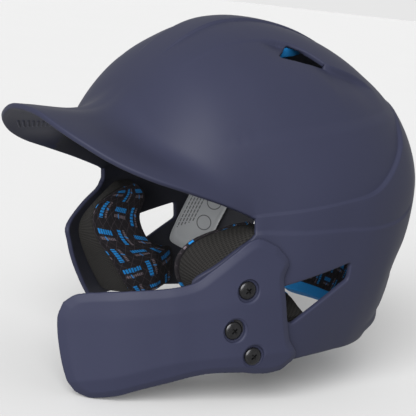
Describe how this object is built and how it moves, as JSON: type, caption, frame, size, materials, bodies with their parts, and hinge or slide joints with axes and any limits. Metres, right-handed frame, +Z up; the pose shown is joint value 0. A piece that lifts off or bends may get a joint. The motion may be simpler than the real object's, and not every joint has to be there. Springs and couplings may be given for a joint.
{
  "type": "batting helmet",
  "caption": "Baseball batting helmet with a curved peak, two ear flaps, a clamped-on jaw guard on the left side and layered foam padding.",
  "frame": {"origin": "middle of the wearer's head, between the ear pads and under the crown pad, as the helmet is worn", "axes": "+Z up as worn, -Y the way the wearer faces and the peak points, +X the wearer's left, where the jaw guard is"},
  "size_m": [0.2076, 0.2977, 0.241],
  "materials": {
    "shell": "satin, soft-touch matte paint",
    "guard": "satin, soft-touch matte paint",
    "spacer_rubber": "matte",
    "screw": "black oxide",
    "nut_steel": "zinc plated",
    "hook_tape": "woven hook tape",
    "blue_foam": "closed-cell foam",
    "spacer_mesh": "knitted spacer mesh",
    "printed_fabric": "heather knit with printed bars",
    "label": "silvered film"
  },
  "bodies": {
    "root": {"shell": "shell", "jaw_guard": "guard", "spacer_upper": "spacer_rubber", "jaw_screw_upper": "screw", "tee_nut_upper": "nut_steel", "spacer_middle": "spacer_rubber", "jaw_screw_middle": "screw", "tee_nut_middle": "nut_steel", "spacer_lower": "spacer_rubber", "jaw_screw_lower": "screw", "tee_nut_lower": "nut_steel", "crown_pad": "printed_fabric", "crown_foam": "blue_foam", "front_tab": "hook_tape", "front_foam": "blue_foam", "front_pad": "printed_fabric", "nape_tab": "hook_tape", "nape_foam": "blue_foam", "nape_pad": "printed_fabric", "rear_tab": "hook_tape", "rear_foam": "blue_foam", "rear_pad": "printed_fabric", "side_left_tab": "hook_tape", "side_left_foam": "blue_foam", "side_left_pad": "printed_fabric", "side_right_tab": "hook_tape", "side_right_foam": "blue_foam", "side_right_pad": "printed_fabric", "ear_left_pad": "spacer_mesh", "ear_left_liner": "printed_fabric", "ear_right_pad": "spacer_mesh", "ear_right_liner": "printed_fabric", "care_label": "label"}
  },
  "joints": []
}
